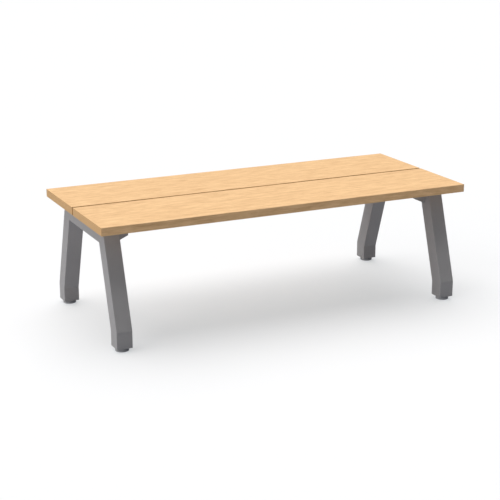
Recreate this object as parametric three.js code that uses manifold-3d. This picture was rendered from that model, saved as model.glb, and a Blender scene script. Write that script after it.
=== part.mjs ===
// Backless bench: two wooden boards screwed to two welded steel end frames on levelling glides.
// Millimetres. X runs along the bench, Y from front (-) to rear (+), Z up.
// The origin is on the floor, under the middle of the seat.
import * as THREE from "three";
import { mergeVertices } from "three/addons/utils/BufferGeometryUtils.js";
import Module from "manifold-3d";

// ---- Driving dimensions ----

// Boards
const BENCH_LENGTH = 1500;
const SEAT_HEIGHT = 465;
const BOARD_WIDTH = 312;
const BOARD_THICKNESS = 30;
const BOARD_GAP = 10; // open joint between the two boards
const BOARD_ARRIS = 0.8; // eased long edges

// End frames, of square tube
const TUBE_SIZE = 60;
const TUBE_WALL = 3;
const FRAME_INSET = 40; // from the boards' ends to the frame's outer face
const SPLAY_ANGLE = THREE.MathUtils.degToRad(18);
const FOOT_AXIS_Y = 299; // from the bench's centre line to the axis of a foot
const KNEE_HEIGHT = 73; // where the axes of leg and foot meet
const FOOT_BOTTOM = 13.6; // underside of a foot's end plate
const END_PLATE = 4;
const WELD_GAP = 0.3; // between two pieces that a weld joins

// Mounting plate and gussets
const PLATE_THICKNESS = 4;
const PLATE_OUTER_SETBACK = 4; // from the rail's outer face, room for the weld
const PLATE_HALF_LENGTH = 208;
const BRACKET_REACH = 44; // from the rail's inner face to the bracket's tip
const GUSSET_THICKNESS = 4;
const GUSSET_FRONT_Y = 192; // outer face of the gusset
const GUSSET_ROOT_DEPTH = 59; // depth below the plate at the rail
const GUSSET_TIP_DEPTH = 40; // and at the tip

// Tie plate under the middle of the boards
const TIE_WIDTH = 40;
const TIE_THICKNESS = 5;
const TIE_HALF_LENGTH = 195;

// Wood screws
const SCREW_RADIUS = 2.5;
const SCREW_HEAD_RADIUS = 5.5;
const SCREW_HEAD_HEIGHT = 3.4;
const SCREW_CROWN_RADIUS = 3.3; // flat middle of the head
const SCREW_SHOULDER_RADIUS = 5.1; // where the crown turns down to the rim
const SCREW_SHOULDER_HEIGHT = 1.2;
const SCREW_TIP = 6;
const SCREW_IN_WOOD = 22;
const SCREW_CLEARANCE = 0.4; // around the shank, and under the head
const PILOT_EXTRA = 1; // depth of a pilot hole beyond the screw's tip
const DRIVE_RADIUS = 1.9;
const DRIVE_DEPTH = 1.8;
const PLATE_SCREW_YS = [30, 100, 168]; // in each board, from the centre line
const TIE_SCREW_YS = [50, 160];

// Levelling glides, M8
const STUD_RADIUS = 4;
const STUD_TOP = 50;
const STUD_CHAMFER = 1;
const STUD_HEAD_RADIUS = 8;
const STUD_HEAD_BOTTOM = 4.6;
const STUD_HEAD_TOP = 7.6;
const STUD_CLEARANCE = 0.3;
const NUT_ACROSS_FLATS = 13;
const NUT_HEIGHT = 6.5;
const PAD_RADIUS = 25;
const PAD_TOP_RADIUS = 22;
const PAD_HEIGHT = 13.2;
const PAD_RIM_HEIGHT = 8;
const PAD_CHAMFER = 1;

// Facets round a circle
const SCREW_FACETS = 12;
const STUD_FACETS = 20;
const PAD_FACETS = 36;

// ---- Worked out from them ----

const BOARD_BOTTOM = SEAT_HEIGHT - BOARD_THICKNESS;
const RAIL_TOP = BOARD_BOTTOM - PLATE_THICKNESS;
const RAIL_AXIS_Z = RAIL_TOP - TUBE_SIZE / 2;
const FRAME_X = BENCH_LENGTH / 2 - FRAME_INSET - TUBE_SIZE / 2;
const CORNER_Y = FOOT_AXIS_Y - (RAIL_AXIS_Z - KNEE_HEIGHT) * Math.tan(SPLAY_ANGLE);
const PLATE_INNER = TUBE_SIZE / 2 + BRACKET_REACH; // inboard edge, from the frame's middle
const PLATE_OUTER = TUBE_SIZE / 2 - PLATE_OUTER_SETBACK;
const SCREW_INBOARD = (TUBE_SIZE / 2 + PLATE_INNER) / 2;

const SIDES = [
  { name: "left", outward: -1 },
  { name: "right", outward: 1 },
];
const ENDS = [
  { name: "front", y: -1 },
  { name: "rear", y: 1 },
];

// ---- Materials ----

const WOOD = new THREE.MeshStandardMaterial({ color: 0xe8bf8c, roughness: 0.6, metalness: 0 });
const POWDER_COAT = new THREE.MeshStandardMaterial({ color: 0xa5a4a7, roughness: 0.55, metalness: 0 });
const STEEL = new THREE.MeshStandardMaterial({ color: 0xa9abad, roughness: 0.35, metalness: 1 });
const MOULDED_PLASTIC = new THREE.MeshStandardMaterial({ color: 0xa0a0a2, roughness: 0.6, metalness: 0 });

// ---- Joining and cutting ----

const CUT_OVERRUN = 1; // how far a cutter starts outside the face it enters

const manifold = await Module();
manifold.setup();

function toSolid(geometry) {
  const bare = geometry.clone();
  bare.deleteAttribute("normal");
  bare.deleteAttribute("uv");
  const merged = mergeVertices(bare, 1e-4);
  return new manifold.Manifold(
    new manifold.Mesh({
      numProp: 3,
      vertProperties: new Float32Array(merged.attributes.position.array),
      triVerts: new Uint32Array(merged.index.array),
    }),
  );
}

function toGeometry(solid) {
  const mesh = solid.getMesh();
  const geometry = new THREE.BufferGeometry();
  geometry.setAttribute("position", new THREE.BufferAttribute(mesh.vertProperties, 3));
  geometry.setIndex(new THREE.BufferAttribute(mesh.triVerts, 1));
  return geometry;
}

function subtract(geometry, ...cutters) {
  const cut = cutters.reduce((solid, cutter) => solid.subtract(toSolid(cutter)), toSolid(geometry));
  return toGeometry(cut);
}

// ---- Shapes ----

// Axes for an extrusion: where the outline's own x and y, and the extrusion, point.
const ACROSS = new THREE.Matrix4().makeBasis(
  new THREE.Vector3(0, 1, 0),
  new THREE.Vector3(0, 0, 1),
  new THREE.Vector3(1, 0, 0),
);
const SIDEWAYS = new THREE.Matrix4().makeBasis(
  new THREE.Vector3(1, 0, 0),
  new THREE.Vector3(0, 0, 1),
  new THREE.Vector3(0, -1, 0),
);

// A closed outline extruded by depth, centred on the plane it is drawn in.
function extruded(outline, depth, axes) {
  const geometry = new THREE.ExtrudeGeometry(new THREE.Shape(outline), { depth, bevelEnabled: false });
  return geometry.translate(0, 0, -depth / 2).applyMatrix4(axes);
}

// A flat plate lying level, from z = bottom upwards.
function plate(shape, thickness, bottom, facets = SCREW_FACETS) {
  const options = { depth: thickness, bevelEnabled: false, curveSegments: facets / 2 };
  return new THREE.ExtrudeGeometry(shape, options).translate(0, 0, bottom);
}

function rectangle(x0, y0, x1, y1) {
  return new THREE.Shape([
    new THREE.Vector2(x0, y0),
    new THREE.Vector2(x1, y0),
    new THREE.Vector2(x1, y1),
    new THREE.Vector2(x0, y1),
  ]);
}

function withHoles(shape, centres, radius) {
  centres.forEach(([x, y]) => {
    shape.holes.push(new THREE.Path().absarc(x, y, radius, 0, 2 * Math.PI, true));
  });
  return shape;
}

// A solid of revolution about Z, from [radius, height] pairs listed from the bottom up.
function turned(profile, facets) {
  const points = profile.map(([radius, height]) => new THREE.Vector2(radius, height));
  return new THREE.LatheGeometry(points, facets).rotateX(Math.PI / 2);
}

function cylinder(radius, bottom, top, facets) {
  const height = top - bottom;
  return new THREE.CylinderGeometry(radius, radius, height, facets)
    .rotateX(Math.PI / 2)
    .translate(0, 0, bottom + height / 2);
}

// ---- The boards ----

function boardOutline(nearY, farY) {
  const a = BOARD_ARRIS;
  return [
    [nearY + a, BOARD_BOTTOM],
    [farY - a, BOARD_BOTTOM],
    [farY, BOARD_BOTTOM + a],
    [farY, SEAT_HEIGHT - a],
    [farY - a, SEAT_HEIGHT],
    [nearY + a, SEAT_HEIGHT],
    [nearY, SEAT_HEIGHT - a],
    [nearY, BOARD_BOTTOM + a],
  ].map(([y, z]) => new THREE.Vector2(y, z));
}

// Every screw's place in one board: x, y.
function screwPlaces(end) {
  const atPlates = SIDES.flatMap(({ outward }) =>
    PLATE_SCREW_YS.map((y) => [outward * (FRAME_X - SCREW_INBOARD), end.y * y]),
  );
  const atTie = TIE_SCREW_YS.map((y) => [0, end.y * y]);
  return { atPlates, atTie };
}

function board(end) {
  const middleY = end.y * (BOARD_GAP / 2 + BOARD_WIDTH / 2);
  const outline = boardOutline(middleY - BOARD_WIDTH / 2, middleY + BOARD_WIDTH / 2);
  const { atPlates, atTie } = screwPlaces(end);
  const pilotRadius = SCREW_RADIUS + SCREW_CLEARANCE;
  const pilotTop = BOARD_BOTTOM + SCREW_IN_WOOD + PILOT_EXTRA;
  const pilots = [...atPlates, ...atTie].map(([x, y]) =>
    cylinder(pilotRadius, BOARD_BOTTOM - CUT_OVERRUN, pilotTop, SCREW_FACETS).translate(x, y, 0),
  );
  return subtract(extruded(outline, BENCH_LENGTH, ACROSS), ...pilots);
}

// ---- Welded tube ----

// The centre line of one end frame in Y and Z, from the rear foot up, across and down.
const CENTRE_LINE = [
  new THREE.Vector2(FOOT_AXIS_Y, FOOT_BOTTOM + END_PLATE + WELD_GAP),
  new THREE.Vector2(FOOT_AXIS_Y, KNEE_HEIGHT),
  new THREE.Vector2(CORNER_Y, RAIL_AXIS_Z),
  new THREE.Vector2(-CORNER_Y, RAIL_AXIS_Z),
  new THREE.Vector2(-FOOT_AXIS_Y, KNEE_HEIGHT),
  new THREE.Vector2(-FOOT_AXIS_Y, FOOT_BOTTOM + END_PLATE + WELD_GAP),
];

function direction(from, to) {
  return to.clone().sub(from).normalize();
}

// How far a point of the mitre at corner i moves for each millimetre of offset from the centre line.
function mitreOffset(i) {
  const here = CENTRE_LINE[i];
  const before = CENTRE_LINE[i - 1];
  const after = CENTRE_LINE[i + 1];
  const inward = before ? direction(before, here) : direction(here, after);
  const outward = after ? direction(here, after) : inward;
  const normalIn = new THREE.Vector2(inward.y, -inward.x);
  const normalOut = new THREE.Vector2(outward.y, -outward.x);
  return normalIn.clone().add(normalOut).divideScalar(1 + normalIn.dot(normalOut));
}

// The outline of the length of tube from corner i to corner i + 1, between two offsets
// of its centre line. Each end stops short of the corner's mitre by trim.
function lengthOutline(i, halfWidth, trimStart, trimEnd) {
  const along = direction(CENTRE_LINE[i], CENTRE_LINE[i + 1]);
  const corner = (j, offset, trim) =>
    CENTRE_LINE[j].clone().addScaledVector(mitreOffset(j), offset).addScaledVector(along, trim);
  return [
    corner(i, halfWidth, trimStart),
    corner(i + 1, halfWidth, -trimEnd),
    corner(i + 1, -halfWidth, -trimEnd),
    corner(i, -halfWidth, trimStart),
  ];
}

// A length of square tube, open at both ends.
function tubeLength(i) {
  const isFirst = i === 0;
  const isLast = i === CENTRE_LINE.length - 2;
  const trimStart = isFirst ? 0 : WELD_GAP / 2;
  const trimEnd = isLast ? 0 : WELD_GAP / 2;
  const outside = lengthOutline(i, TUBE_SIZE / 2, trimStart, trimEnd);
  const inside = lengthOutline(i, TUBE_SIZE / 2 - TUBE_WALL, -TUBE_SIZE, -TUBE_SIZE);
  return subtract(
    extruded(outside, TUBE_SIZE, ACROSS),
    extruded(inside, TUBE_SIZE - 2 * TUBE_WALL, ACROSS),
  );
}

const TUBE_LENGTHS = ["rear_foot", "rear_leg", "top_rail", "front_leg", "front_foot"];

// ---- The plates of an end frame ----

function endPlate(end) {
  const half = TUBE_SIZE / 2;
  const centreY = end.y * FOOT_AXIS_Y;
  const outline = rectangle(-half, centreY - half, half, centreY + half);
  const shape = withHoles(outline, [[0, centreY]], STUD_RADIUS + STUD_CLEARANCE);
  return plate(shape, END_PLATE, FOOT_BOTTOM, STUD_FACETS);
}

function mountingPlate(outward) {
  const inner = -outward * PLATE_INNER;
  const outer = outward * PLATE_OUTER;
  const screwX = -outward * SCREW_INBOARD;
  const [left, right] = [inner, outer].sort((a, b) => a - b);
  const outline = rectangle(left, -PLATE_HALF_LENGTH, right, PLATE_HALF_LENGTH);
  const holes = ENDS.flatMap((end) => PLATE_SCREW_YS.map((y) => [screwX, end.y * y]));
  return plate(withHoles(outline, holes, SCREW_RADIUS + SCREW_CLEARANCE), PLATE_THICKNESS, RAIL_TOP);
}

function gusset(end, outward) {
  const atRail = TUBE_SIZE / 2 + WELD_GAP;
  const top = RAIL_TOP - WELD_GAP;
  const outline = [
    [atRail, RAIL_TOP - GUSSET_ROOT_DEPTH],
    [atRail, top],
    [PLATE_INNER, top],
    [PLATE_INNER, RAIL_TOP - GUSSET_TIP_DEPTH],
  ].map(([inboard, z]) => new THREE.Vector2(-outward * inboard, z));
  const middleY = end.y * (GUSSET_FRONT_Y - GUSSET_THICKNESS / 2);
  return extruded(outline, GUSSET_THICKNESS, SIDEWAYS).translate(0, middleY, 0);
}

// ---- Glides ----

function weldNut() {
  const corner = NUT_ACROSS_FLATS / 2 / Math.cos(Math.PI / 6);
  const corners = [0, 1, 2, 3, 4, 5].map((i) => {
    const angle = (i * Math.PI) / 3;
    return new THREE.Vector2(corner * Math.cos(angle), corner * Math.sin(angle));
  });
  const shape = withHoles(new THREE.Shape(corners), [[0, 0]], STUD_RADIUS + STUD_CLEARANCE);
  return plate(shape, NUT_HEIGHT, FOOT_BOTTOM + END_PLATE + WELD_GAP, STUD_FACETS);
}

function glideStud() {
  const profile = [
    [0, STUD_HEAD_BOTTOM],
    [STUD_HEAD_RADIUS, STUD_HEAD_BOTTOM],
    [STUD_HEAD_RADIUS, STUD_HEAD_TOP],
    [STUD_RADIUS, STUD_HEAD_TOP],
    [STUD_RADIUS, STUD_TOP - STUD_CHAMFER],
    [STUD_RADIUS - STUD_CHAMFER, STUD_TOP],
    [0, STUD_TOP],
  ];
  return turned(profile, STUD_FACETS);
}

// A round pad whose socket holds the stud's head.
function glidePad() {
  const c = STUD_CLEARANCE;
  const profile = [
    [0, 0],
    [PAD_RADIUS - PAD_CHAMFER, 0],
    [PAD_RADIUS, PAD_CHAMFER],
    [PAD_RADIUS, PAD_RIM_HEIGHT],
    [PAD_TOP_RADIUS, PAD_HEIGHT],
    [STUD_RADIUS + c, PAD_HEIGHT],
    [STUD_RADIUS + c, STUD_HEAD_TOP + c],
    [STUD_HEAD_RADIUS + c, STUD_HEAD_TOP + c],
    [STUD_HEAD_RADIUS + c, STUD_HEAD_BOTTOM - c],
    [0, STUD_HEAD_BOTTOM - c],
  ];
  return turned(profile, PAD_FACETS);
}

// ---- Screws ----

// A pan-head wood screw pointing up, its head just below z = 0.
function woodScrew(throughMetal) {
  const headTop = -SCREW_CLEARANCE;
  const headBottom = headTop - SCREW_HEAD_HEIGHT;
  const tip = throughMetal + SCREW_IN_WOOD;
  const profile = [
    [0, headBottom + DRIVE_DEPTH],
    [DRIVE_RADIUS, headBottom + DRIVE_DEPTH],
    [DRIVE_RADIUS, headBottom],
    [SCREW_CROWN_RADIUS, headBottom],
    [SCREW_SHOULDER_RADIUS, headBottom + SCREW_SHOULDER_HEIGHT],
    [SCREW_HEAD_RADIUS, headTop],
    [SCREW_RADIUS, headTop],
    [SCREW_RADIUS, tip - SCREW_TIP],
    [0, tip],
  ];
  return turned(profile, SCREW_FACETS);
}

// ---- Assembly ----

function named(name, geometry, material) {
  const mesh = new THREE.Mesh(geometry, material);
  mesh.name = name;
  return mesh;
}

function boards() {
  return ENDS.map((end) => named(`${end.name}_board`, board(end), WOOD));
}

function tiePlate() {
  const group = new THREE.Group();
  const half = TIE_WIDTH / 2;
  const bottom = BOARD_BOTTOM - TIE_THICKNESS;
  const places = ENDS.flatMap((end) => screwPlaces(end).atTie);
  const outline = withHoles(
    rectangle(-half, -TIE_HALF_LENGTH, half, TIE_HALF_LENGTH),
    places,
    SCREW_RADIUS + SCREW_CLEARANCE,
  );
  group.add(named("tie_plate", plate(outline, TIE_THICKNESS, bottom), POWDER_COAT));
  places.forEach(([x, y], i) => {
    const screw = named(`tie_screw_${i + 1}`, woodScrew(TIE_THICKNESS), STEEL);
    screw.position.set(x, y, bottom);
    group.add(screw);
  });
  return group;
}

function glide(side, end) {
  const group = new THREE.Group();
  const place = `${side.name}_${end.name}`;
  group.position.y = end.y * FOOT_AXIS_Y;
  group.add(named(`${place}_weld_nut`, weldNut(), STEEL));
  group.add(named(`${place}_glide_stud`, glideStud(), STEEL));
  group.add(named(`${place}_glide_pad`, glidePad(), MOULDED_PLASTIC));
  return group;
}

function endFrame(side) {
  const group = new THREE.Group();
  group.position.x = side.outward * FRAME_X;
  TUBE_LENGTHS.forEach((piece, i) => {
    group.add(named(`${side.name}_${piece}`, tubeLength(i), POWDER_COAT));
  });
  group.add(named(`${side.name}_mounting_plate`, mountingPlate(side.outward), POWDER_COAT));
  ENDS.forEach((end) => {
    const place = `${side.name}_${end.name}`;
    group.add(named(`${place}_end_plate`, endPlate(end), POWDER_COAT));
    group.add(named(`${place}_gusset`, gusset(end, side.outward), POWDER_COAT));
    group.add(glide(side, end));
    PLATE_SCREW_YS.forEach((y, i) => {
      const screw = named(`${place}_board_screw_${i + 1}`, woodScrew(PLATE_THICKNESS), STEEL);
      screw.position.set(-side.outward * SCREW_INBOARD, end.y * y, RAIL_TOP);
      group.add(screw);
    });
  });
  return group;
}

const bench = new THREE.Group();
bench.add(...boards(), tiePlate(), ...SIDES.map(endFrame));

export default bench;
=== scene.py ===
"""Backless bench: the looks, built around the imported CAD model. Metres; X along the bench, Z up."""

import math

import bmesh
import bpy
from mathutils import Matrix, Vector


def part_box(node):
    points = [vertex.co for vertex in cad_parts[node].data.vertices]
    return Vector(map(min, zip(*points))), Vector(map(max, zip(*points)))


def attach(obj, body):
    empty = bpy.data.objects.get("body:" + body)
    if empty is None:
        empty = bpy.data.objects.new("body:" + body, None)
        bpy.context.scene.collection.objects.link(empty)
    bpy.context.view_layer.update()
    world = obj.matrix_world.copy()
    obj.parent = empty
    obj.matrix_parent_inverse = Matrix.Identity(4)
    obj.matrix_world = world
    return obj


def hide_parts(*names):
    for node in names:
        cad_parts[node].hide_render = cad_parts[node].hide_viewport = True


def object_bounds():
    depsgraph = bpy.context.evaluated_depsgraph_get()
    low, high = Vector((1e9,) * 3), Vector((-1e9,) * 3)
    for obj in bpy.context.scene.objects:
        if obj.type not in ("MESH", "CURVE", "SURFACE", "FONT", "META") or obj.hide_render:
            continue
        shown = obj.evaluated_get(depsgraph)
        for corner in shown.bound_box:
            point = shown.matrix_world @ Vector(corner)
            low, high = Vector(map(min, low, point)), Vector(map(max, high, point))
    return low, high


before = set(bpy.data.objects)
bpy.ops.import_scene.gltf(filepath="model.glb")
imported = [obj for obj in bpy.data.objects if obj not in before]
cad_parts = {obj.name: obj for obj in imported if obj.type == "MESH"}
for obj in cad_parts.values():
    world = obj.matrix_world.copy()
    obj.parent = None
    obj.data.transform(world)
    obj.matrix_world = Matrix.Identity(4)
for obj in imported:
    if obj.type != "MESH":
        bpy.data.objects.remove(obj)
cad_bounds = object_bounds()

MM = 0.001
SIDES = {"left": -1, "right": 1}
ENDS = {"front": -1, "rear": 1}
ROOT = "bench"

# ---- Camera, floor and light ----

CAMERA_AZIMUTH = math.radians(-25.587)
CAMERA_ELEVATION = math.radians(16.404)
CAMERA_DISTANCE = 5.190
CAMERA_AIM = Vector((-0.0267, 0.0053, -0.0229))  # from the middle of the bench
CAMERA_LENS_MM = 94.8
CAMERA_SENSOR_MM = 36.0
CAMERA_FAR = 200.0

FLOOR_SIZE = 80.0
# Red, green and blue. The floor's glow is a little blue, to stay neutral beside the warm wood. It is
# given as the camera sees it, and as it lights the bench.
FLOOR_COLOUR = (0.375, 0.364, 0.360)
FLOOR_GLOW_SEEN = (0.518, 0.535, 0.547)
FLOOR_GLOW_CAST = (0.084, 0.109, 0.146)

# Strength, spread, azimuth (0 is the front, 90 the right) and elevation, with angles in degrees,
# and the light's tint.
NEUTRAL = (1.0, 1.0, 1.0)
COOL = (0.97, 1.0, 1.05)
LIGHTS = {
    "overhead": (3.52, 68, 180, 73, NEUTRAL),
    "left_soft": (1.23, 60, -90, 25, NEUTRAL),
    "front_left_soft": (0.46, 60, -45, 20, COOL),
}
SKY_SEEN = (1.0, 1.0, 1.0)
SKY_CAST = (0.0, 0.0, 0.0)

# ---- Bench details that the CAD model leaves plain ----

SPLAY = math.radians(18)
WELD_GAP = 0.3 * MM
TUBE_WALL = 3.0 * MM
TUBE_CORNER = 1.6 * MM
TUBE_INNER_CORNER = 0.7 * MM
CORNER_STEPS = 5
MITRE_BLEND = 3.0 * MM  # how far a dressed weld rounds the crease at a mitre
BLEND_STEPS = 4
BOARD_EASE = 0.7 * MM
BOARD_EASE_STEPS = 4
PLATE_EDGE = 0.45 * MM
PLATE_EDGE_RESOLUTION = 2
PLATE_CORNER = 5.0 * MM
HOLE_RADIUS = 2.9 * MM
HOLE_STEPS = 32
PILOT_EXTRA = 1.0 * MM
FOOT_HOLE_RADIUS = 4.3 * MM
GUSSET_TIP_DEPTH = 40.0 * MM  # below the mounting plate
GUSSET_CORNER = 1.2 * MM
GUSSET_CORNER_STEPS = 3
SMOOTH_ANGLE = math.radians(35)
MERGE_DISTANCE = 1e-6


# ---- Small helpers for geometry ----


def centre_of(node):
    low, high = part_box(node)
    return (low + high) / 2


def size_of(node):
    low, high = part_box(node)
    return high - low


def arc(centre, radius, start, end, steps):
    """Points on an arc in a plane, both ends included."""
    cx, cy = centre
    angles = [start + (end - start) * i / steps for i in range(steps + 1)]
    return [(cx + radius * math.cos(a), cy + radius * math.sin(a)) for a in angles]


def hole_outline(x, y, radius):
    """Points round a hole, the first not repeated."""
    return arc((x, y), radius, 0, 2 * math.pi * (1 - 1 / HOLE_STEPS), HOLE_STEPS - 1)


def smooth_bend(start, corner, end, t):
    """The point at t, from 0 to 1, of a curve that leaves start towards corner and turns to end."""
    return start * (1 - t) ** 2 + corner * (2 * t * (1 - t)) + end * t**2


def rounded_rectangle(width, height, radius, steps):
    """A rectangle with rounded corners, centred, anticlockwise."""
    points = []
    for quarter, (sx, sy) in enumerate([(1, 1), (-1, 1), (-1, -1), (1, -1)]):
        centre = (sx * (width / 2 - radius), sy * (height / 2 - radius))
        start = quarter * math.pi / 2
        points += arc(centre, radius, start, start + math.pi / 2, steps)
    return points


def rounded_polygon(corners, radius, steps):
    """A convex polygon with each corner rounded, in the corners' own order."""
    points = []
    count = len(corners)
    for i, corner in enumerate(corners):
        here = Vector(corner)
        back = (Vector(corners[i - 1]) - here).normalized()
        forth = (Vector(corners[(i + 1) % count]) - here).normalized()
        half = back.angle(forth) / 2
        reach = radius / math.tan(half)
        start, end = here + back * reach, here + forth * reach
        points += [tuple(smooth_bend(start, here, end, k / steps)) for k in range(steps + 1)]
    return points


def make_piece(name, bm, material, body, replaces=()):
    """Makes a mesh object from bm, shades it, and hangs it on its CAD body."""
    mesh = bpy.data.meshes.new(name)
    bmesh.ops.recalc_face_normals(bm, faces=bm.faces)
    bm.to_mesh(mesh)
    bm.free()
    mesh.shade_smooth()
    mesh.set_sharp_from_angle(angle=SMOOTH_ANGLE)
    mesh.materials.append(material)
    piece = bpy.data.objects.new(name, mesh)
    bpy.context.scene.collection.objects.link(piece)
    normals = piece.modifiers.new("even_normals", "WEIGHTED_NORMAL")
    normals.keep_sharp = True
    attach(piece, body)
    if replaces:
        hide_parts(*replaces)


def stand(bm, node, lift=0.0):
    """Moves a shape made upwards from the origin to a node's middle and lowest level."""
    middle = centre_of(node)
    bmesh.ops.translate(bm, vec=(middle.x, middle.y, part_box(node)[0].z + lift), verts=bm.verts)


def bridge(bm, rings, closed_ends=True):
    """Skins a list of rings of equal length, each a closed loop of vertices."""
    for lower, upper in zip(rings, rings[1:]):
        count = len(lower)
        for i in range(count):
            j = (i + 1) % count
            bm.faces.new((lower[i], lower[j], upper[j], upper[i]))
    if closed_ends:
        bm.faces.new(rings[0][::-1])
        bm.faces.new(rings[-1])


def lathe(rows, segments):
    """A solid of revolution about Z. A row is (radius, z), and its radius may be a function of the
    angle; the first and last rows are on the axis."""
    bm = bmesh.new()
    rings = []
    for radius, z in rows:
        if radius == 0:
            rings.append([bm.verts.new((0, 0, z))])
            continue
        ring = []
        for i in range(segments):
            a = 2 * math.pi * i / segments
            r = radius(a) if callable(radius) else radius
            ring.append(bm.verts.new((r * math.cos(a), r * math.sin(a), z)))
        rings.append(ring)
    for lower, upper in zip(rings, rings[1:]):
        for i in range(segments):
            j = (i + 1) % segments
            corners = [lower[i % len(lower)], lower[j % len(lower)]]
            corners += [upper[j % len(upper)], upper[i % len(upper)]]
            bm.faces.new(list(dict.fromkeys(corners)))
    return bm


THREAD_ROWS_PER_PITCH = 8
THREAD_FLANK = 2.6  # rise of a flank over a whole pitch, in depths of the thread
THREAD_ROOT_FLAT = 0.2  # how much of that rise is cut off, and leaves the root flat


def thread_rows(bottom, top, pitch, root, crest):
    """Rows of a right-hand thread for lathe, running out to its root at both ends."""
    count = round((top - bottom) / pitch * THREAD_ROWS_PER_PITCH)
    rows = []
    for k in range(count + 1):
        z = bottom + (top - bottom) * k / count
        fade = min(1.0, (z - bottom) / pitch, (top - z) / pitch)

        def radius(a, z=z, fade=fade):
            phase = (z / pitch - a / (2 * math.pi)) % 1.0
            ridge = min(1.0, max(0.0, abs(phase - 0.5) * THREAD_FLANK - THREAD_ROOT_FLAT))
            return root + (crest - root) * ridge * fade

        rows.append((radius, z))
    return rows


def flat_plate(outline, holes, thickness, edge):
    """A level plate centred on z = 0, with round holes and softly rounded edges, as a mesh.
    holes are (x, y, radius)."""
    curve = bpy.data.curves.new("plate_outline", "CURVE")
    curve.dimensions = "2D"
    curve.fill_mode = "BOTH"
    curve.extrude = thickness / 2 - edge
    curve.bevel_depth = edge
    curve.bevel_resolution = PLATE_EDGE_RESOLUTION
    curve.offset = -edge
    for loop in [outline] + [hole_outline(*hole) for hole in holes]:
        spline = curve.splines.new("POLY")
        spline.points.add(len(loop) - 1)
        for point, (x, y) in zip(spline.points, loop):
            point.co = (x, y, 0, 1)
        spline.use_cyclic_u = True
    holder = bpy.data.objects.new("plate_outline", curve)
    bpy.context.scene.collection.objects.link(holder)
    graph = bpy.context.evaluated_depsgraph_get()
    mesh = bpy.data.meshes.new_from_object(holder.evaluated_get(graph), depsgraph=graph)
    bpy.data.objects.remove(holder)
    bpy.data.curves.remove(curve)
    bm = bmesh.new()
    bm.from_mesh(mesh)
    bpy.data.meshes.remove(mesh)
    bmesh.ops.remove_doubles(bm, verts=bm.verts, dist=MERGE_DISTANCE)
    return bm


# ---- Materials ----


class Nodes:
    """A material's node tree, with short calls for the nodes used here."""

    def __init__(self, name):
        self.material = bpy.data.materials.new(name)
        self.material.use_nodes = True
        self.tree = self.material.node_tree
        self.shader = self.tree.nodes["Principled BSDF"]
        self.place = self.add("ShaderNodeTexCoord").outputs["Object"]

    def add(self, kind, **settings):
        node = self.tree.nodes.new(kind)
        for key, value in settings.items():
            setattr(node, key, value)
        return node

    def link(self, source, target):
        if isinstance(source, (int, float, tuple, list)):
            target.default_value = source
        else:
            self.tree.links.new(source, target)

    def scaled(self, scale, offset=(0, 0, 0)):
        """The object's coordinates, stretched and shifted."""
        mapping = self.add("ShaderNodeMapping")
        self.link(self.place, mapping.inputs["Vector"])
        mapping.inputs["Scale"].default_value = scale
        mapping.inputs["Location"].default_value = offset
        return mapping.outputs["Vector"]

    def noise(self, vector, scale=1.0, detail=2.0, roughness=0.5):
        node = self.add("ShaderNodeTexNoise")
        self.link(vector, node.inputs["Vector"])
        node.inputs["Scale"].default_value = scale
        node.inputs["Detail"].default_value = detail
        node.inputs["Roughness"].default_value = roughness
        return node.outputs["Fac"]

    def math(self, operation, a, b=0.0, c=0.0):
        node = self.add("ShaderNodeMath", operation=operation)
        for value, socket in zip((a, b, c), node.inputs):
            self.link(value, socket)
        return node.outputs[0]

    def ranged(self, value, low, high, to_low, to_high, smooth=False):
        """value from low..high to to_low..to_high, held at the ends."""
        kind = "SMOOTHSTEP" if smooth else "LINEAR"
        node = self.add("ShaderNodeMapRange", interpolation_type=kind)
        node.inputs["From Min"].default_value = low
        node.inputs["From Max"].default_value = high
        node.inputs["To Min"].default_value = to_low
        node.inputs["To Max"].default_value = to_high
        self.link(value, node.inputs["Value"])
        return node.outputs["Result"]

    def mix(self, factor, a, b, blend="MIX"):
        node = self.add("ShaderNodeMix", data_type="RGBA", blend_type=blend)
        self.link(factor, node.inputs["Factor"])
        self.link(a, node.inputs["A"])
        self.link(b, node.inputs["B"])
        return node.outputs["Result"]

    def bump(self, height, distance):
        node = self.add("ShaderNodeBump")
        node.inputs["Distance"].default_value = distance
        node.inputs["Strength"].default_value = 1.0
        self.link(height, node.inputs["Height"])
        return node.outputs["Normal"]


def rgba(red, green, blue):
    return (red, green, blue, 1.0)


WOOD_PALE = rgba(0.865, 0.568, 0.298)
WOOD_DEEP = rgba(0.605, 0.357, 0.168)
WOOD_PORE = rgba(0.330, 0.180, 0.080)
WOOD_END_TINT = rgba(0.865, 0.835, 0.745)
# The tint of the painted shade on the board sides that face each other across the gap.
WOOD_GAP_PAINTED_SHADE = rgba(0.74, 0.67, 0.52)
RING_WIDTH = 2.7 * MM


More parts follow.
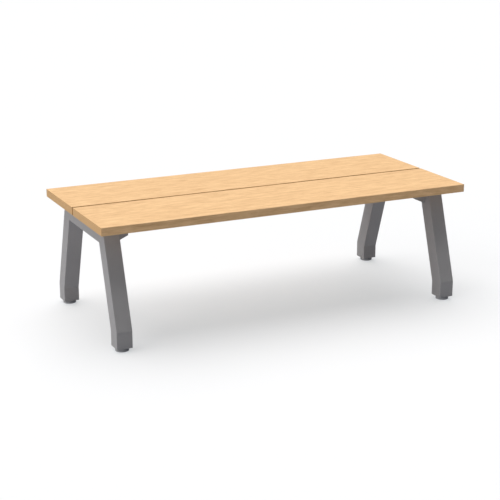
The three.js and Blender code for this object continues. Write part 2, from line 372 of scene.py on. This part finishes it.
def wood(seed, heart):
    """Pale straight-grained wood, solid through the board: growth rings of uneven strength about
    the heart of the trunk (in Y and Z), streaks and flecks along the grain, fibres and open pores.
    The sawn ends show the rings and the fine rays, and are a little deeper. The sides that face
    each other across the gap are darkened with painted shade, uneven along the gap."""
    n = Nodes(f"board_wood_{seed}")
    shift = (seed * 3.7, seed * 1.9, seed * 0.7)
    half_length = cad_bounds[1].x
    half_gap = -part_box("front_board")[1].y

    def grain(along, across, **settings):
        return n.noise(n.scaled((along, across, across), shift), **settings)

    def toned(start, shares):
        for value, share in shares:
            start = n.math("MULTIPLY_ADD", n.math("SUBTRACT", value, 0.5), share, start)
        return start

    parts = n.add("ShaderNodeSeparateXYZ")
    n.link(n.place, parts.inputs[0])
    across = zip((parts.outputs["Y"], parts.outputs["Z"]), heart)
    from_heart = [n.math("SUBTRACT", value, middle) for value, middle in across]
    squares = [n.math("POWER", offset, 2.0) for offset in from_heart]
    radius = n.math("SQRT", n.math("ADD", *squares))
    radius = n.math("MULTIPLY_ADD", grain(0.55, 5.0, detail=3.0), 0.030, radius)
    radius = n.math("MULTIPLY_ADD", grain(3.0, 45.0), 0.0022, radius)
    years = n.math("MULTIPLY", radius, 1 / RING_WIDTH)
    ring = n.math("FRACT", years)
    rise = n.ranged(ring, 0.15, 0.82, 0.0, 1.0, True)
    late = n.math("MULTIPLY", rise, n.ranged(ring, 0.9, 1.0, 1.0, 0.0, True))
    year = n.add("ShaderNodeTexWhiteNoise", noise_dimensions="1D")
    n.link(n.math("FLOOR", years), year.inputs["W"])
    late = n.math("MULTIPLY", late, n.ranged(year.outputs["Value"], 0.0, 1.0, 0.35, 1.0))

    long_streak = grain(1.8, 70.0, detail=4.0, roughness=0.6)
    line = grain(4.0, 360.0, detail=3.0, roughness=0.65)
    patch = grain(13.0, 105.0, detail=4.0, roughness=0.6)
    mottle = grain(22.0, 48.0, detail=2.0)
    fleck = grain(34.0, 800.0, detail=2.0, roughness=0.6)
    fibre = grain(14.0, 1300.0, detail=3.0, roughness=0.6)
    pores = grain(45.0, 1700.0, detail=1.0)
    open_pore = n.ranged(pores, 0.60, 0.70, 0.0, 1.0, True)
    pore = n.math("MULTIPLY", open_pore, n.ranged(ring, 0.0, 0.55, 1.0, 0.25))

    flecked = n.math("MULTIPLY_ADD", n.math("SUBTRACT", fleck, 0.5), 5.0, 1.0)
    clustered = n.math("MULTIPLY_ADD", n.math("SUBTRACT", patch, 0.5), flecked, 0.5)
    shares = ((long_streak, 0.35), (line, 0.50), (clustered, 1.90), (mottle, 0.50), (fibre, 0.35))
    along_tone = toned(n.math("MULTIPLY", late, 0.20), shares)
    rays = n.noise(n.scaled((1.0, 260.0, 40.0), shift), detail=3.0, roughness=0.6)
    end_tone = toned(n.math("MULTIPLY", late, 0.42), ((rays, 0.35), (pores, 0.30)))
    from_middle = n.math("ABSOLUTE", parts.outputs["X"])
    at_end = n.ranged(from_middle, half_length - BOARD_EASE, half_length - BOARD_EASE / 2, 0.0, 1.0)
    change = n.math("SUBTRACT", end_tone, along_tone)
    tone = n.math("ADD", along_tone, n.math("MULTIPLY", at_end, change))

    colour = n.mix(n.ranged(tone, -0.30, 0.70, 0.0, 1.0), WOOD_PALE, WOOD_DEEP)
    colour = n.mix(n.math("MULTIPLY", pore, 0.45), colour, WOOD_PORE)
    colour = n.mix(at_end, colour, WOOD_END_TINT, "MULTIPLY")
    # Painted shade: the board sides facing each other across the gap are darkened, unevenly along it,
    # to stand in for the shade in the gap.
    from_gap = n.math("ABSOLUTE", parts.outputs["Y"])
    in_gap = n.ranged(from_gap, half_gap, half_gap + BOARD_EASE, 1.0, 0.0)
    gap_painted_shade = n.math("MULTIPLY", in_gap, n.ranged(mottle, 0.3, 0.7, 0.75, 1.0))
    colour = n.mix(gap_painted_shade, colour, WOOD_GAP_PAINTED_SHADE, "MULTIPLY")
    n.link(colour, n.shader.inputs["Base Color"])
    rough = n.math("MULTIPLY_ADD", pore, 0.15, n.ranged(fibre, 0.2, 0.8, 0.52, 0.62))
    n.link(rough, n.shader.inputs["Roughness"])
    height = n.math("MULTIPLY_ADD", pore, -0.7, n.math("MULTIPLY", fibre, 0.5))
    height = n.math("MULTIPLY_ADD", late, 0.25, height)
    n.link(n.bump(height, 0.12 * MM), n.shader.inputs["Normal"])
    n.shader.inputs["IOR"].default_value = 1.45
    n.shader.inputs["Specular IOR Level"].default_value = 0.3
    return n.material


POWDER_GREY = rgba(0.327, 0.315, 0.313)
POWDER_LIGHT = rgba(0.386, 0.372, 0.370)
POWDER_SPARK = rgba(0.465, 0.449, 0.447)
POWDER_DUST = rgba(0.484, 0.467, 0.452)


def powder_coat():
    """Mid-grey powder coat: fine orange peel, a little uneven, with faint dust low on the legs."""
    n = Nodes("frame_powder_coat")
    peel = n.noise(n.place, scale=620.0, detail=2.0, roughness=0.55)
    grit = n.noise(n.place, scale=1700.0, detail=1.0)
    cloud = n.noise(n.place, scale=9.0, detail=4.0, roughness=0.6)
    colour = n.mix(n.ranged(cloud, 0.3, 0.7, 0.0, 0.55), POWDER_GREY, POWDER_LIGHT)
    colour = n.mix(n.ranged(grit, 0.35, 0.7, 0.0, 0.45), colour, POWDER_SPARK)
    parts = n.add("ShaderNodeSeparateXYZ")
    n.link(n.place, parts.inputs[0])
    low = n.ranged(parts.outputs["Z"], 0.0, 0.16, 1.0, 0.0, True)
    dust = n.noise(n.place, scale=60.0, detail=5.0, roughness=0.7)
    film = n.math("MULTIPLY", low, n.ranged(dust, 0.45, 0.75, 0.0, 0.22))
    n.link(n.mix(film, colour, POWDER_DUST), n.shader.inputs["Base Color"])
    rough = n.math("ADD", n.ranged(cloud, 0.3, 0.7, 0.50, 0.58), n.math("MULTIPLY", film, 0.5))
    n.link(rough, n.shader.inputs["Roughness"])
    height = n.math("MULTIPLY_ADD", grit, 0.25, peel)
    n.link(n.bump(height, 0.15 * MM), n.shader.inputs["Normal"])
    return n.material


ZINC = rgba(0.56, 0.57, 0.58)
ZINC_WARM = rgba(0.60, 0.57, 0.50)


def zinc_steel():
    """Bright zinc plate with a faint yellow cast in places and fine drawing marks."""
    n = Nodes("hardware_steel")
    cloud = n.noise(n.place, scale=260.0, detail=3.0)
    marks = n.noise(n.scaled((900.0, 900.0, 5000.0)), detail=2.0)
    colour = n.mix(n.ranged(cloud, 0.35, 0.7, 0.0, 0.7), ZINC, ZINC_WARM)
    n.link(colour, n.shader.inputs["Base Color"])
    n.shader.inputs["Metallic"].default_value = 1.0
    n.link(n.ranged(marks, 0.3, 0.7, 0.26, 0.42), n.shader.inputs["Roughness"])
    n.link(n.bump(marks, 0.02 * MM), n.shader.inputs["Normal"])
    return n.material


PAD_GREY = rgba(0.415, 0.405, 0.405)
PAD_WORN = rgba(0.490, 0.478, 0.468)


def moulded_plastic():
    """Mid-grey moulded nylon with a fine spark-eroded texture, scuffed near the floor."""
    n = Nodes("glide_plastic")
    grain = n.noise(n.place, scale=2200.0, detail=2.0)
    scuff = n.noise(n.place, scale=420.0, detail=5.0, roughness=0.7)
    parts = n.add("ShaderNodeSeparateXYZ")
    n.link(n.place, parts.inputs[0])
    low = n.ranged(parts.outputs["Z"], 0.0, 0.006, 1.0, 0.15, True)
    worn = n.math("MULTIPLY", low, n.ranged(scuff, 0.5, 0.75, 0.0, 0.7))
    n.link(n.mix(worn, PAD_GREY, PAD_WORN), n.shader.inputs["Base Color"])
    rough = n.math("MULTIPLY_ADD", worn, 0.2, n.ranged(grain, 0.3, 0.7, 0.46, 0.58))
    n.link(rough, n.shader.inputs["Roughness"])
    n.link(n.bump(grain, 0.05 * MM), n.shader.inputs["Normal"])
    return n.material


WOODS = {"front": wood(1, heart=(0.62, 0.02)), "rear": wood(2, heart=(0.95, 0.10))}
COAT = powder_coat()
STEEL = zinc_steel()
PLASTIC = moulded_plastic()


# ---- Boards ----


def pilot_hole(bm, x, y, bottom, top):
    """A blind hole's wall and roof, and its mouth: the loop of vertices at the bottom."""
    outline = hole_outline(x, y, HOLE_RADIUS)
    rings = [[bm.verts.new((*point, z)) for point in outline] for z in (bottom, top)]
    bridge(bm, rings, closed_ends=False)
    bm.faces.new(rings[1])
    return rings[0]


def make_board(end, screws):
    """A board with eased edges and a pilot hole for each screw."""
    node = f"{end}_board"
    bm = bmesh.new()
    bmesh.ops.create_cube(bm, size=1.0)
    to_size = Matrix.Translation(centre_of(node)) @ Matrix.Diagonal((*size_of(node), 1))
    bmesh.ops.transform(bm, matrix=to_size, verts=bm.verts)
    edges = list(bm.edges)
    bmesh.ops.bevel(
        bm, geom=edges, offset=BOARD_EASE, segments=BOARD_EASE_STEPS, profile=0.5, affect="EDGES"
    )

    def level_then_size(face):
        return round(face.calc_center_median().z, 6), -face.calc_area()

    underside = min(bm.faces, key=level_then_size)
    rim = list(underside.edges)
    bm.faces.remove(underside)
    mouths = []
    for screw in screws:
        place, tip = centre_of(screw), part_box(screw)[1].z
        mouth = pilot_hole(bm, place.x, place.y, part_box(node)[0].z, tip + PILOT_EXTRA)
        mouths += [bm.edges.get((a, b)) for a, b in zip(mouth, mouth[1:] + mouth[:1])]
    bmesh.ops.triangle_fill(bm, use_beauty=True, edges=rim + mouths, normal=(0, 0, -1))
    make_piece(f"{end}_seat_board", bm, WOODS[end], ROOT, [node])


# ---- End frames ----


def centre_line(side):
    """The frame's centre line in Y and Z, from the rear foot up, across and down, its X, and the
    tube's size."""
    rail = centre_of(f"{side}_top_rail")
    foot_low, foot_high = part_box(f"{side}_rear_foot")
    half = (foot_high.y - foot_low.y) / 2
    foot_y = centre_of(f"{side}_rear_foot").y
    knee_z = foot_high.z + WELD_GAP / 2 - half * math.tan(SPLAY / 2)
    corner_y = foot_y - (rail.z - knee_z) * math.tan(SPLAY)
    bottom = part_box(f"{side}_rear_end_plate")[1].z
    rear = [Vector((foot_y, bottom)), Vector((foot_y, knee_z)), Vector((corner_y, rail.z))]
    front = [Vector((-p.x, p.y)) for p in reversed(rear)]
    return rear + front, rail.x, 2 * half


def mitre(line, i):
    """The move of a point at corner i per unit of offset from the line, and both directions."""
    before = (line[i] - line[i - 1]).normalized() if i else None
    after = (line[i + 1] - line[i]).normalized() if i + 1 < len(line) else None
    before, after = before or after, after or before
    normal_before = Vector((before.y, -before.x))
    normal_after = Vector((after.y, -after.x))
    offset = (normal_before + normal_after) / (1 + normal_before.dot(normal_after))
    return offset, before, after


def tube_rings(bm, line, x, section):
    """Rings of vertices of a section (x offset, offset in the frame's plane) swept along the line,
    each inner corner rounded a little as a dressed weld is."""
    rings = []
    for i, corner in enumerate(line):
        offset, before, after = mitre(line, i)
        at_end = i in (0, len(line) - 1)
        for k in range(1 if at_end else BLEND_STEPS + 1):
            t = k / BLEND_STEPS
            ring = []
            for across, out in section:
                point = corner + offset * out
                if not at_end:
                    start, end = point - before * MITRE_BLEND, point + after * MITRE_BLEND
                    point = smooth_bend(start, point, end, t)
                ring.append(bm.verts.new((x + across, point.x, point.y)))
            rings.append(ring)
    return rings


TUBE_NODES = ("rear_foot", "rear_leg", "top_rail", "front_leg", "front_foot")


def make_frame_tube(side):
    """The frame's welded square tube in one skin: outside, inside, and the cut ends of the feet."""
    line, x, size = centre_line(side)
    inner = size - 2 * TUBE_WALL
    bm = bmesh.new()
    outer_section = rounded_rectangle(size, size, TUBE_CORNER, CORNER_STEPS)
    inner_section = rounded_rectangle(inner, inner, TUBE_INNER_CORNER, CORNER_STEPS)
    outside = tube_rings(bm, line, x, outer_section)
    inside = tube_rings(bm, line, x, inner_section)
    bridge(bm, outside, closed_ends=False)
    bridge(bm, inside, closed_ends=False)
    for end in (0, -1):
        bridge(bm, [outside[end], inside[end]], closed_ends=False)
    nodes = [f"{side}_{piece}" for piece in TUBE_NODES]
    make_piece(f"{side}_frame_tube", bm, COAT, ROOT, nodes)


def make_level_plate(name, node, corner, holes):
    """A level plate that fills a CAD plate's box."""
    size, middle = size_of(node), centre_of(node)
    outline = rounded_rectangle(size.x, size.y, corner, CORNER_STEPS)
    holes = [(x - middle.x, y - middle.y, r) for x, y, r in holes]
    bm = flat_plate(outline, holes, size.z, PLATE_EDGE)
    bmesh.ops.translate(bm, vec=middle, verts=bm.verts)
    make_piece(name, bm, COAT, ROOT, [node])


def screw_holes(screws):
    return [(centre_of(screw).x, centre_of(screw).y, HOLE_RADIUS) for screw in screws]


def make_gusset(side, end):
    """A tapered plate under the mounting plate, against the rail's inner face."""
    node = f"{side}_{end}_gusset"
    low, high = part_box(node)
    inboard = -SIDES[side]
    rail_x, tip_x = (low.x, high.x) if inboard > 0 else (high.x, low.x)
    tip_z = high.z + WELD_GAP - GUSSET_TIP_DEPTH
    corners = [(rail_x, low.z), (tip_x, tip_z), (tip_x, high.z), (rail_x, high.z)]
    if inboard < 0:
        corners.reverse()
    outline = rounded_polygon(corners, GUSSET_CORNER, GUSSET_CORNER_STEPS)
    bm = flat_plate(outline, [], high.y - low.y, PLATE_EDGE)
    upright = Matrix(((1, 0, 0, 0), (0, 0, -1, (low.y + high.y) / 2), (0, 1, 0, 0), (0, 0, 0, 1)))
    bmesh.ops.transform(bm, matrix=upright, verts=bm.verts)
    make_piece(f"{side}_{end}_bracket_cheek", bm, COAT, ROOT, [node])


BEAD_RIPPLE = 2.8 * MM  # from one ripple of a weld bead to the next
BEAD_STEPS_PER_RIPPLE = 6
BEAD_FEWEST_STEPS = 8
BEAD_ARC_STEPS = 6
BEAD_SCALLOP = 0.7  # below 1, each ripple's highest point lies towards its start
BEAD_RIPPLE_AT_TOES = 0.4  # of the ripples' height at the middle of the bead
# Shares of the bead's leg: the ripples' height, how flat the face is, how far the root sinks into
# the corner, and the leg at the two ends.
BEAD_RIPPLE_HEIGHT = 0.17
BEAD_CROWN = 0.16
BEAD_SUNK = 0.25
BEAD_END = 0.3


def add_bead(bm, start, end, wall_a, wall_b, leg):
    """A weld bead in the corner of two walls. wall_a and wall_b point along the walls, away from
    it. Its ripples are scallops, each laid over the last, and its two ends run out round."""
    start, end, wall_a, wall_b = (Vector(v) for v in (start, end, wall_a, wall_b))
    length = (end - start).length
    steps = max(BEAD_FEWEST_STEPS, round(length / (BEAD_RIPPLE / BEAD_STEPS_PER_RIPPLE)))
    rings = []
    for k in range(steps + 1):
        along = length * k / steps
        from_end = min(1.0, min(along, length - along) / leg)
        taper = BEAD_END + (1 - BEAD_END) * math.sqrt(1 - (1 - from_end) ** 2)
        phase = along / BEAD_RIPPLE % 1.0
        hollow = BEAD_RIPPLE_HEIGHT * (1 - math.sin(math.pi * phase**BEAD_SCALLOP))
        centre = start.lerp(end, k / steps)
        ring = [centre - (wall_a + wall_b) * BEAD_SUNK * leg]
        for i in range(BEAD_ARC_STEPS + 1):
            a = math.pi / 2 * i / BEAD_ARC_STEPS
            crown = math.sin(2 * a)
            rippled = 1 - hollow * (BEAD_RIPPLE_AT_TOES + (1 - BEAD_RIPPLE_AT_TOES) * crown)
            reach = leg * taper * (1 - BEAD_CROWN * crown) * rippled
            ring.append(centre + (wall_a * math.cos(a) + wall_b * math.sin(a)) * reach)
        rings.append([bm.verts.new(p) for p in ring])
    bridge(bm, rings)


DOWN, UP = Vector((0, 0, -1)), Vector((0, 0, 1))
GUSSET_BEAD_LEG = 3.2 * MM
UPRIGHT_BEAD_ENDS = (4 * MM, 2 * MM)  # short of the gusset's lower end, and of the mounting plate
LEVEL_BEAD_ENDS = (2 * MM, 3 * MM)  # short of the rail, and of the gusset's tip


def make_gusset_welds(side, end):
    """Beads on both faces of a gusset, against the rail and under the mounting plate."""
    low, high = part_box(f"{side}_{end}_gusset")
    inboard = Vector((-SIDES[side], 0, 0))
    rail_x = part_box(f"{side}_top_rail")[1 if inboard.x > 0 else 0].x
    tip_x = high.x if inboard.x > 0 else low.x
    plate_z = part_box(f"{side}_mounting_plate")[0].z
    foot_z, head_z = low.z + UPRIGHT_BEAD_ENDS[0], plate_z - UPRIGHT_BEAD_ENDS[1]
    near_x, far_x = rail_x + inboard.x * LEVEL_BEAD_ENDS[0], tip_x - inboard.x * LEVEL_BEAD_ENDS[1]
    bm = bmesh.new()
    for y, away in ((low.y, -1), (high.y, 1)):
        out = Vector((0, away, 0))
        add_bead(bm, (rail_x, y, foot_z), (rail_x, y, head_z), inboard, out, GUSSET_BEAD_LEG)
        add_bead(bm, (near_x, y, plate_z), (far_x, y, plate_z), DOWN, out, GUSSET_BEAD_LEG)
    make_piece(f"{side}_{end}_gusset_weld", bm, COAT, ROOT)


PLATE_STITCHES = 5
STITCH_LENGTH = 36 * MM
STITCH_END_GAP = 12 * MM  # from the outermost stitches to the gussets
INBOARD_STITCH_LEG = 4 * MM
OUTBOARD_STITCH_LEG = 2.6 * MM
STITCH_IN_CORNER = 0.3  # of the corner's radius: how far the inboard beads move in under it


def make_plate_welds(side):
    """Stitched beads that hold the mounting plate to the rail, inboard and outboard."""
    plate_low, plate_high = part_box(f"{side}_mounting_plate")
    rail_low, rail_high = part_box(f"{side}_top_rail")
    outward = Vector((SIDES[side], 0, 0))
    on_right = outward.x > 0
    inboard_x = rail_low.x if on_right else rail_high.x
    inboard_x += outward.x * TUBE_CORNER * STITCH_IN_CORNER
    outboard_x = plate_high.x if on_right else plate_low.x
    z = plate_low.z
    span = 2 * (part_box(f"{side}_rear_gusset")[0].y - STITCH_END_GAP)
    bm = bmesh.new()
    for i in range(PLATE_STITCHES):
        middle = -span / 2 + STITCH_LENGTH / 2 + i * (span - STITCH_LENGTH) / (PLATE_STITCHES - 1)
        near, far = middle - STITCH_LENGTH / 2, middle + STITCH_LENGTH / 2
        add_bead(bm, (inboard_x, near, z), (inboard_x, far, z), -outward, DOWN, INBOARD_STITCH_LEG)
        add_bead(bm, (outboard_x, near, z), (outboard_x, far, z), outward, UP, OUTBOARD_STITCH_LEG)
    make_piece(f"{side}_plate_weld", bm, COAT, ROOT)


# ---- Fasteners ----

SCREW_SEGMENTS = 36
SCREW_PITCH = 2.4 * MM
SCREW_LIFT = 0.3 * MM  # seats the head, which CAD leaves just clear of the plate
SCREW_HEAD_HEIGHT = 3.7 * MM
SCREW_SHANK = 2.45 * MM
SCREW_ROOT = 1.6 * MM
SCREW_DOME = 0.62  # of a full round
SCREW_DOME_ANGLES = (0.42, 0.6, 0.8, 1.0, 1.2)
DRIVE_RADIUS = 1.75 * MM
DRIVE_LOBES = 6
DRIVE_LOBE_DEPTH = 0.13  # of its radius
DRIVE_DEPTH = 1.8 * MM


def make_screw(node):
    """A pan-head wood screw pointing up, with a six-lobe drive."""
    size = size_of(node)
    head, length = size.x / 2, size.z
    seat = SCREW_HEAD_HEIGHT

    def lobes(a):
        return DRIVE_RADIUS * (1 + DRIVE_LOBE_DEPTH * math.cos(DRIVE_LOBES * a))

    dome = [(head * math.sin(a), seat * (1 - math.cos(a)) * SCREW_DOME) for a in SCREW_DOME_ANGLES]
    drive_mouth = dome[0][1] + 0.05 * MM
    rows = [(0, DRIVE_DEPTH + 0.1 * MM), (lobes, DRIVE_DEPTH), (lobes, drive_mouth)] + dome
    rows += [(head * 0.985, 2.35 * MM), (head, 2.7 * MM), (head, seat - 0.2 * MM)]
    rows += [(head - 0.2 * MM, seat), (SCREW_SHANK, seat), (SCREW_SHANK, seat + 4.5 * MM)]
    rows += [(SCREW_ROOT + 0.2 * MM, seat + 5.2 * MM)]
    rows += thread_rows(seat + 5.5 * MM, length - 5 * MM, SCREW_PITCH, SCREW_ROOT, SCREW_SHANK)
    rows += [(SCREW_ROOT * 0.8, length - 4 * MM), (SCREW_ROOT * 0.45, length - 1.8 * MM)]
    rows += [(0, length)]
    bm = lathe(rows, SCREW_SEGMENTS)
    stand(bm, node, SCREW_LIFT)
    name = node.replace("screw", "wood_screw")
    make_piece(name, bm, STEEL, ROOT, [node])


NUT_SEGMENTS = 72
NUT_BORE = 4.15 * MM
NUT_MOUTH = 4.6 * MM
NUT_MOUTH_DEPTH = 0.5 * MM
NUT_CORNER_CUT = 1.0 * MM
NUT_CORNER_CUT_HEIGHT = 0.6 * MM


def make_nut(side, end):
    """A hexagon weld nut with chamfered corners and a chamfered bore."""
    node = f"{side}_{end}_weld_nut"
    size = size_of(node)
    corner, flat, height = size.x / 2, size.y / 2, size.z

    def hexagon(cut):
        def radius(a):
            facet = (a + math.pi / 6) % (math.pi / 3) - math.pi / 6
            to_flat = flat / math.cos(math.pi / 6 - abs(facet))
            return min(to_flat, corner - cut)

        return radius

    whole, chamfered = hexagon(0), hexagon(NUT_CORNER_CUT)
    rows = [(NUT_MOUTH, 0), (chamfered, 0), (whole, NUT_CORNER_CUT_HEIGHT)]
    rows += [(whole, height - NUT_CORNER_CUT_HEIGHT), (chamfered, height), (NUT_MOUTH, height)]
    rows += [(NUT_BORE, height - NUT_MOUTH_DEPTH), (NUT_BORE, NUT_MOUTH_DEPTH), (NUT_MOUTH, 0)]
    bm = lathe(rows, NUT_SEGMENTS)
    bmesh.ops.remove_doubles(bm, verts=bm.verts, dist=MERGE_DISTANCE)
    stand(bm, node)
    make_piece(f"{side}_{end}_m8_weld_nut", bm, STEEL, ROOT, [node])


# ---- Levelling glides ----

STUD_SEGMENTS = 32
STUD_PITCH = 1.25 * MM
STUD_ROOT = 3.35 * MM
STUD_CREST = 3.97 * MM
STUD_HEAD_HEIGHT = 3.0 * MM
STUD_HEAD_EDGE = 0.3 * MM


def make_stud(side, end):
    """An M8 threaded stud with a round head, which the pad is moulded over."""
    node = f"{side}_{end}_glide_stud"
    size = size_of(node)
    head, length = size.x / 2, size.z
    top, edge = STUD_HEAD_HEIGHT, STUD_HEAD_EDGE
    rows = [(0, 0), (head - edge, 0), (head, edge), (head, top - edge), (head - edge, top)]
    rows += [(STUD_CREST, top), (STUD_CREST, top + 2.2 * MM), (STUD_ROOT, top + 2.8 * MM)]
    rows += thread_rows(top + 3.0 * MM, length - 0.8 * MM, STUD_PITCH, STUD_ROOT, STUD_CREST)
    rows += [(STUD_ROOT - 0.4 * MM, length), (0, length)]
    bm = lathe(rows, STUD_SEGMENTS)
    stand(bm, node)
    make_piece(f"{side}_{end}_m8_stud", bm, STEEL, f"{side}_{end}_stud", [node])


GRIP_FLUTES = 36
GRIP_DEPTH = 0.35 * MM
GRIP_SEGMENTS = 6 * GRIP_FLUTES
PAD_RIM_HEIGHT = 8.0 * MM
PAD_TOP_RADIUS = 22.0 * MM
PAD_NECK_RADIUS = 4.3 * MM
SOCKET_RADIUS = 8.3 * MM
SOCKET_FLOOR = 4.3 * MM
SOCKET_ROOF = 7.9 * MM


def make_pad(side, end):
    """A round moulded pad, fluted round its rim to be turned by hand, with the socket of the stud's
    head inside. Its rows go from the middle of its base out, up, and back in to the socket."""
    node = f"{side}_{end}_glide_pad"
    size = size_of(node)
    outer, height = size.x / 2, size.z
    rim, top, neck = PAD_RIM_HEIGHT, PAD_TOP_RADIUS, PAD_NECK_RADIUS

    def fluted(radius):
        return lambda a: radius - GRIP_DEPTH * (0.5 + 0.5 * math.cos(GRIP_FLUTES * a)) ** 2

    rows = [(0, 0), (outer - 1.6 * MM, 0), (outer - 0.9 * MM, 0.15 * MM)]
    rows += [(outer - 0.35 * MM, 0.5 * MM), (outer - 0.05 * MM, 1.0 * MM)]
    rows += [(outer, 1.6 * MM), (outer, 2.2 * MM)]
    rows += [(fluted(outer), 2.7 * MM), (fluted(outer - 0.05 * MM), rim - 1.2 * MM)]
    rows += [(outer - 0.1 * MM, rim - 0.6 * MM), (outer - 0.5 * MM, rim)]
    rows += [(outer - 1.1 * MM, rim + 0.6 * MM), (top + 0.6 * MM, height - 1.0 * MM)]
    rows += [(top, height - 0.4 * MM), (top - 0.8 * MM, height), (neck + 0.5 * MM, height)]
    rows += [(neck, height - 0.5 * MM), (neck, SOCKET_ROOF), (SOCKET_RADIUS, SOCKET_ROOF)]
    rows += [(SOCKET_RADIUS, SOCKET_FLOOR), (0, SOCKET_FLOOR)]
    bm = lathe(rows, GRIP_SEGMENTS)
    stand(bm, node)
    make_piece(f"{side}_{end}_pad", bm, PLASTIC, f"{side}_{end}_pad", [node])


# ---- The bench ----


def make_end_frame(side):
    make_frame_tube(side)
    screws = [f"{side}_{end}_board_screw_{i}" for end in ENDS for i in (1, 2, 3)]
    seat_holes = screw_holes(screws)
    make_level_plate(f"{side}_seat_plate", f"{side}_mounting_plate", PLATE_CORNER, seat_holes)
    make_plate_welds(side)
    for node in screws:
        make_screw(node)
    for end in ENDS:
        make_gusset(side, end)
        make_gusset_welds(side, end)
        stud = centre_of(f"{side}_{end}_glide_stud")
        hole = [(stud.x, stud.y, FOOT_HOLE_RADIUS)]
        make_level_plate(f"{side}_{end}_foot_plate", f"{side}_{end}_end_plate", TUBE_CORNER, hole)
        make_nut(side, end)
        make_stud(side, end)
        make_pad(side, end)


tie_screws = [f"tie_screw_{i}" for i in (1, 2, 3, 4)]
for end_name, end_sign in ENDS.items():
    board_screws = [f"{side}_{end_name}_board_screw_{i}" for side in SIDES for i in (1, 2, 3)]
    board_screws += [screw for screw in tie_screws if centre_of(screw).y * end_sign > 0]
    make_board(end_name, board_screws)
make_level_plate("centre_tie_plate", "tie_plate", PLATE_CORNER, screw_holes(tie_screws))
for screw_node in tie_screws:
    make_screw(screw_node)
for side_name in SIDES:
    make_end_frame(side_name)


# ---- Studio ----


def camera_switch(tree, cast, seen):
    """A colour that is seen where the camera sees it, and cast where it only lights the bench."""
    path = tree.nodes.new("ShaderNodeLightPath")
    switch = tree.nodes.new("ShaderNodeMix")
    switch.data_type = "RGBA"
    switch.inputs["A"].default_value = rgba(*cast)
    switch.inputs["B"].default_value = rgba(*seen)
    tree.links.new(path.outputs["Is Camera Ray"], switch.inputs["Factor"])
    return switch.outputs["Result"]


def make_floor():
    """A plain pale floor that reads as a white sweep."""
    mesh = bpy.data.meshes.new("floor")
    half = FLOOR_SIZE / 2
    corners = [(-half, -half, 0), (half, -half, 0), (half, half, 0), (-half, half, 0)]
    mesh.from_pydata(corners, [], [(0, 1, 2, 3)])
    floor = bpy.data.objects.new("floor", mesh)
    bpy.context.scene.collection.objects.link(floor)
    material = bpy.data.materials.new("floor_white")
    material.use_nodes = True
    tree = material.node_tree
    shader = tree.nodes["Principled BSDF"]
    shader.inputs["Base Color"].default_value = rgba(*FLOOR_COLOUR)
    shader.inputs["Roughness"].default_value = 1.0
    shader.inputs["Specular IOR Level"].default_value = 0.0
    shader.inputs["Emission Strength"].default_value = 1.0
    glow = camera_switch(tree, FLOOR_GLOW_CAST, FLOOR_GLOW_SEEN)
    tree.links.new(glow, shader.inputs["Emission Color"])
    mesh.materials.append(material)


def bearing(azimuth, elevation):
    """The direction out from the bench at an azimuth, 0 being the front, and an elevation."""
    level = math.cos(elevation)
    return Vector((math.sin(azimuth) * level, -math.cos(azimuth) * level, math.sin(elevation)))


def make_sun(name, strength, spread, azimuth, elevation, tint):
    """A soft distant light. spread is how wide it looks, and the angles are in degrees."""
    light = bpy.data.lights.new(name, "SUN")
    light.energy = strength
    light.color = tint
    light.angle = math.radians(spread)
    lamp = bpy.data.objects.new(name, light)
    lamp.rotation_mode = "QUATERNION"
    out = bearing(math.radians(azimuth), math.radians(elevation))
    lamp.rotation_quaternion = (-out).to_track_quat("-Z", "Y")
    bpy.context.scene.collection.objects.link(lamp)


def make_world():
    """White where the camera sees it, and dark to the bench, which the lamps and floor light."""
    world = bpy.data.worlds.new("studio")
    world.use_nodes = True
    tree = world.node_tree
    background = tree.nodes["Background"]
    tree.links.new(camera_switch(tree, SKY_CAST, SKY_SEEN), background.inputs["Color"])
    bpy.context.scene.world = world


def make_camera():
    low, high = cad_bounds
    aim = (low + high) / 2 + CAMERA_AIM
    back = bearing(CAMERA_AZIMUTH, CAMERA_ELEVATION)
    lens = bpy.data.cameras.new("camera")
    lens.lens = CAMERA_LENS_MM
    lens.sensor_width = CAMERA_SENSOR_MM
    lens.clip_end = CAMERA_FAR
    camera = bpy.data.objects.new("camera", lens)
    camera.location = aim + back * CAMERA_DISTANCE
    camera.rotation_mode = "QUATERNION"
    camera.rotation_quaternion = (-back).to_track_quat("-Z", "Y")
    bpy.context.scene.collection.objects.link(camera)
    bpy.context.scene.camera = camera


make_camera()
make_floor()
make_world()
for lamp_name, settings in LIGHTS.items():
    make_sun(lamp_name, *settings)
bpy.context.scene.view_settings.view_transform = "Standard"
